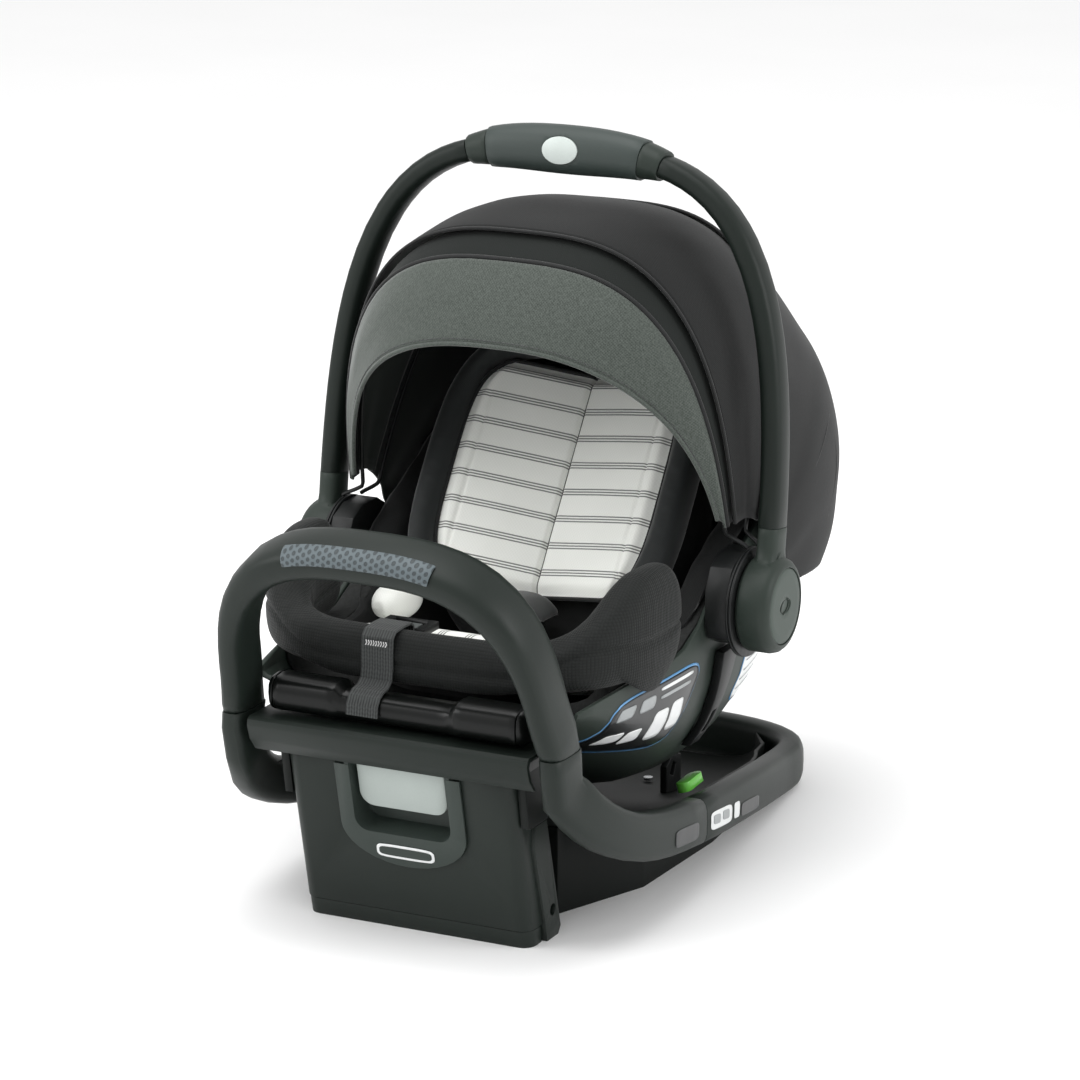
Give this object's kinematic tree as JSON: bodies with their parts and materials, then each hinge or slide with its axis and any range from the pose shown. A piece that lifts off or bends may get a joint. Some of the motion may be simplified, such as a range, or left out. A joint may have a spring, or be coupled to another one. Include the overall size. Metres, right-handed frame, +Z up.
{
  "type": "infant car seat",
  "caption": "Rear-facing infant car seat: a padded carrier with a swinging carry handle and a folding canopy, on a vehicle base with a rebound bar and an adjustable front foot.",
  "frame": {"origin": "on the floor plane, midway between the handle pivots, at the flat underside of the base", "axes": "+Z up, -Y towards the foot end and rebound bar, +X across the seat, along the handle pivots"},
  "size_m": [0.438, 0.6641, 0.6113],
  "materials": {
    "base_plastic": "satin moulded polypropylene",
    "pan_plastic": "fine textured",
    "grip_texture": "raised six-sided cells",
    "pad_rubber": "matt",
    "screw_steel": "zinc plated",
    "green_plastic": "gloss",
    "bezel_plastic": "satin",
    "lever_plastic": "satin",
    "shell_plastic": "satin moulded",
    "lip_plastic": "polished black",
    "black_plastic": "satin",
    "foam": "expanded bead",
    "black_fabric": "woven lining",
    "knit_fabric": "ribbed knit",
    "striped_fabric": "cream with fine dark stripes",
    "smooth_fabric": "smooth padded",
    "webbing": "tight webbing",
    "red_plastic": "satin",
    "grey_plastic": "satin",
    "canopy_fabric": "smooth woven",
    "visor_fabric": "grey heather weave",
    "handle_plastic": "satin",
    "cap_plastic": "satin",
    "grip_rubber": "soft touch",
    "button_plastic": "satin"
  },
  "bodies": {
    "base": {"base_pan": "pan_plastic", "base_tray": "pan_plastic", "base_rim_front": "base_plastic", "base_rim_rear": "base_plastic", "front_beam": "base_plastic", "foot_guides": "pan_plastic", "rebound_bar": "base_plastic", "bar_grip_pad": "grip_texture", "carrier_latches": "pan_plastic", "rear_pads": "pad_rubber", "base_screws": "screw_steel"},
    "lockoff_left": {"lockoff_button_left": "green_plastic"},
    "lockoff_right": {"lockoff_button_right": "green_plastic"},
    "foot": {"foot_tower": "base_plastic", "foot_bezel": "bezel_plastic", "foot_shoe": "base_plastic", "foot_pins": "screw_steel"},
    "foot_release": {"foot_lever": "lever_plastic"},
    "carrier": {"shell": "shell_plastic", "front_lip": "lip_plastic", "lip_ends": "lip_plastic", "belt_hooks": "black_plastic", "handle_mounts": "black_plastic", "pivot_pins": "screw_steel", "foam_liner": "foam", "seat_cover": "black_fabric", "front_bolster": "knit_fabric", "seat_cushion": "striped_fabric", "back_cushion": "black_fabric", "back_insert": "striped_fabric", "head_support": "smooth_fabric", "thigh_pads": "striped_fabric", "crotch_pad": "black_fabric", "crotch_strap": "webbing", "buckle": "black_plastic", "adjuster_housing": "black_plastic", "adjuster_strap": "webbing", "release_housing": "black_plastic", "canopy_rear": "canopy_fabric"},
    "buckle_release": {"buckle_button": "red_plastic"},
    "harness_release": {"adjuster_lever": "grey_plastic"},
    "base_release": {"release_lever": "grey_plastic"},
    "canopy_mid": {"canopy_mid": "canopy_fabric", "canopy_mid_bow": "black_plastic"},
    "canopy_front": {"canopy_band": "canopy_fabric", "canopy_visor": "visor_fabric", "canopy_front_bow": "black_plastic"},
    "handle": {"handle_frame": "handle_plastic", "hub_housings": "handle_plastic", "hub_caps": "cap_plastic", "grip_sleeve": "grip_rubber", "grip_collars": "handle_plastic"},
    "grip_release": {"grip_button": "button_plastic"}
  },
  "joints": [
    {"name": "foot_slide", "type": "slide", "parent": "base", "child": "foot", "axis": [0, 0.2181, -0.9759], "range_m": [0, 0.05]},
    {"name": "foot_release_squeeze", "type": "slide", "parent": "foot", "child": "foot_release", "axis": [0, -0.2181, 0.9759], "range_m": [0, 0.008], "stiffness_N_per_m": 400, "springref_m": -0.004},
    {"name": "lockoff_left_press", "type": "slide", "parent": "base", "child": "lockoff_left", "axis": [0, 0, -1], "range_m": [0, 0.004], "stiffness_N_per_m": 500, "springref_m": -0.003},
    {"name": "lockoff_right_press", "type": "slide", "parent": "base", "child": "lockoff_right", "axis": [0, 0, -1], "range_m": [0, 0.004], "stiffness_N_per_m": 500, "springref_m": -0.003},
    {"name": "carrier_lift", "type": "slide", "parent": "base", "child": "carrier", "axis": [0, 0.2588, 0.9659], "range_m": [0, 0.25]},
    {"name": "base_release_squeeze", "type": "hinge", "parent": "carrier", "child": "base_release", "pos_m": [0, 0.22663, 0.11706], "axis": [1, 0, 0], "range_deg": [0, 11], "stiffness_Nm_per_rad": 1.2, "springref_deg": -17.19},
    {"name": "buckle_press", "type": "slide", "parent": "carrier", "child": "buckle_release", "axis": [0, 1, 0], "range_m": [0, 0.0035], "stiffness_N_per_m": 500, "springref_m": -0.003},
    {"name": "harness_release_lift", "type": "hinge", "parent": "carrier", "child": "harness_release", "pos_m": [0, -0.201, 0.2425], "axis": [1, 0, 0], "range_deg": [0, 25], "stiffness_Nm_per_rad": 0.4, "springref_deg": -11.46},
    {"name": "canopy_mid_fold", "type": "hinge", "parent": "carrier", "child": "canopy_mid", "pos_m": [0, 0, 0.239], "axis": [1, 0, 0], "range_deg": [-25, 0]},
    {"name": "canopy_front_fold", "type": "hinge", "parent": "canopy_mid", "child": "canopy_front", "pos_m": [0, 0, 0.239], "axis": [1, 0, 0], "range_deg": [-28, 0]},
    {"name": "handle_swing", "type": "hinge", "parent": "carrier", "child": "handle", "pos_m": [0, 0, 0.239], "axis": [1, 0, 0], "range_deg": [-100, 45]},
    {"name": "grip_press", "type": "slide", "parent": "handle", "child": "grip_release", "axis": [0, 0.9914, -0.1305], "range_m": [0, 0.004], "stiffness_N_per_m": 500, "springref_m": -0.003}
  ],
  "couplings": [
    {"joint": "canopy_front_fold", "follows": "canopy_mid_fold", "ratio": 1.12}
  ]
}
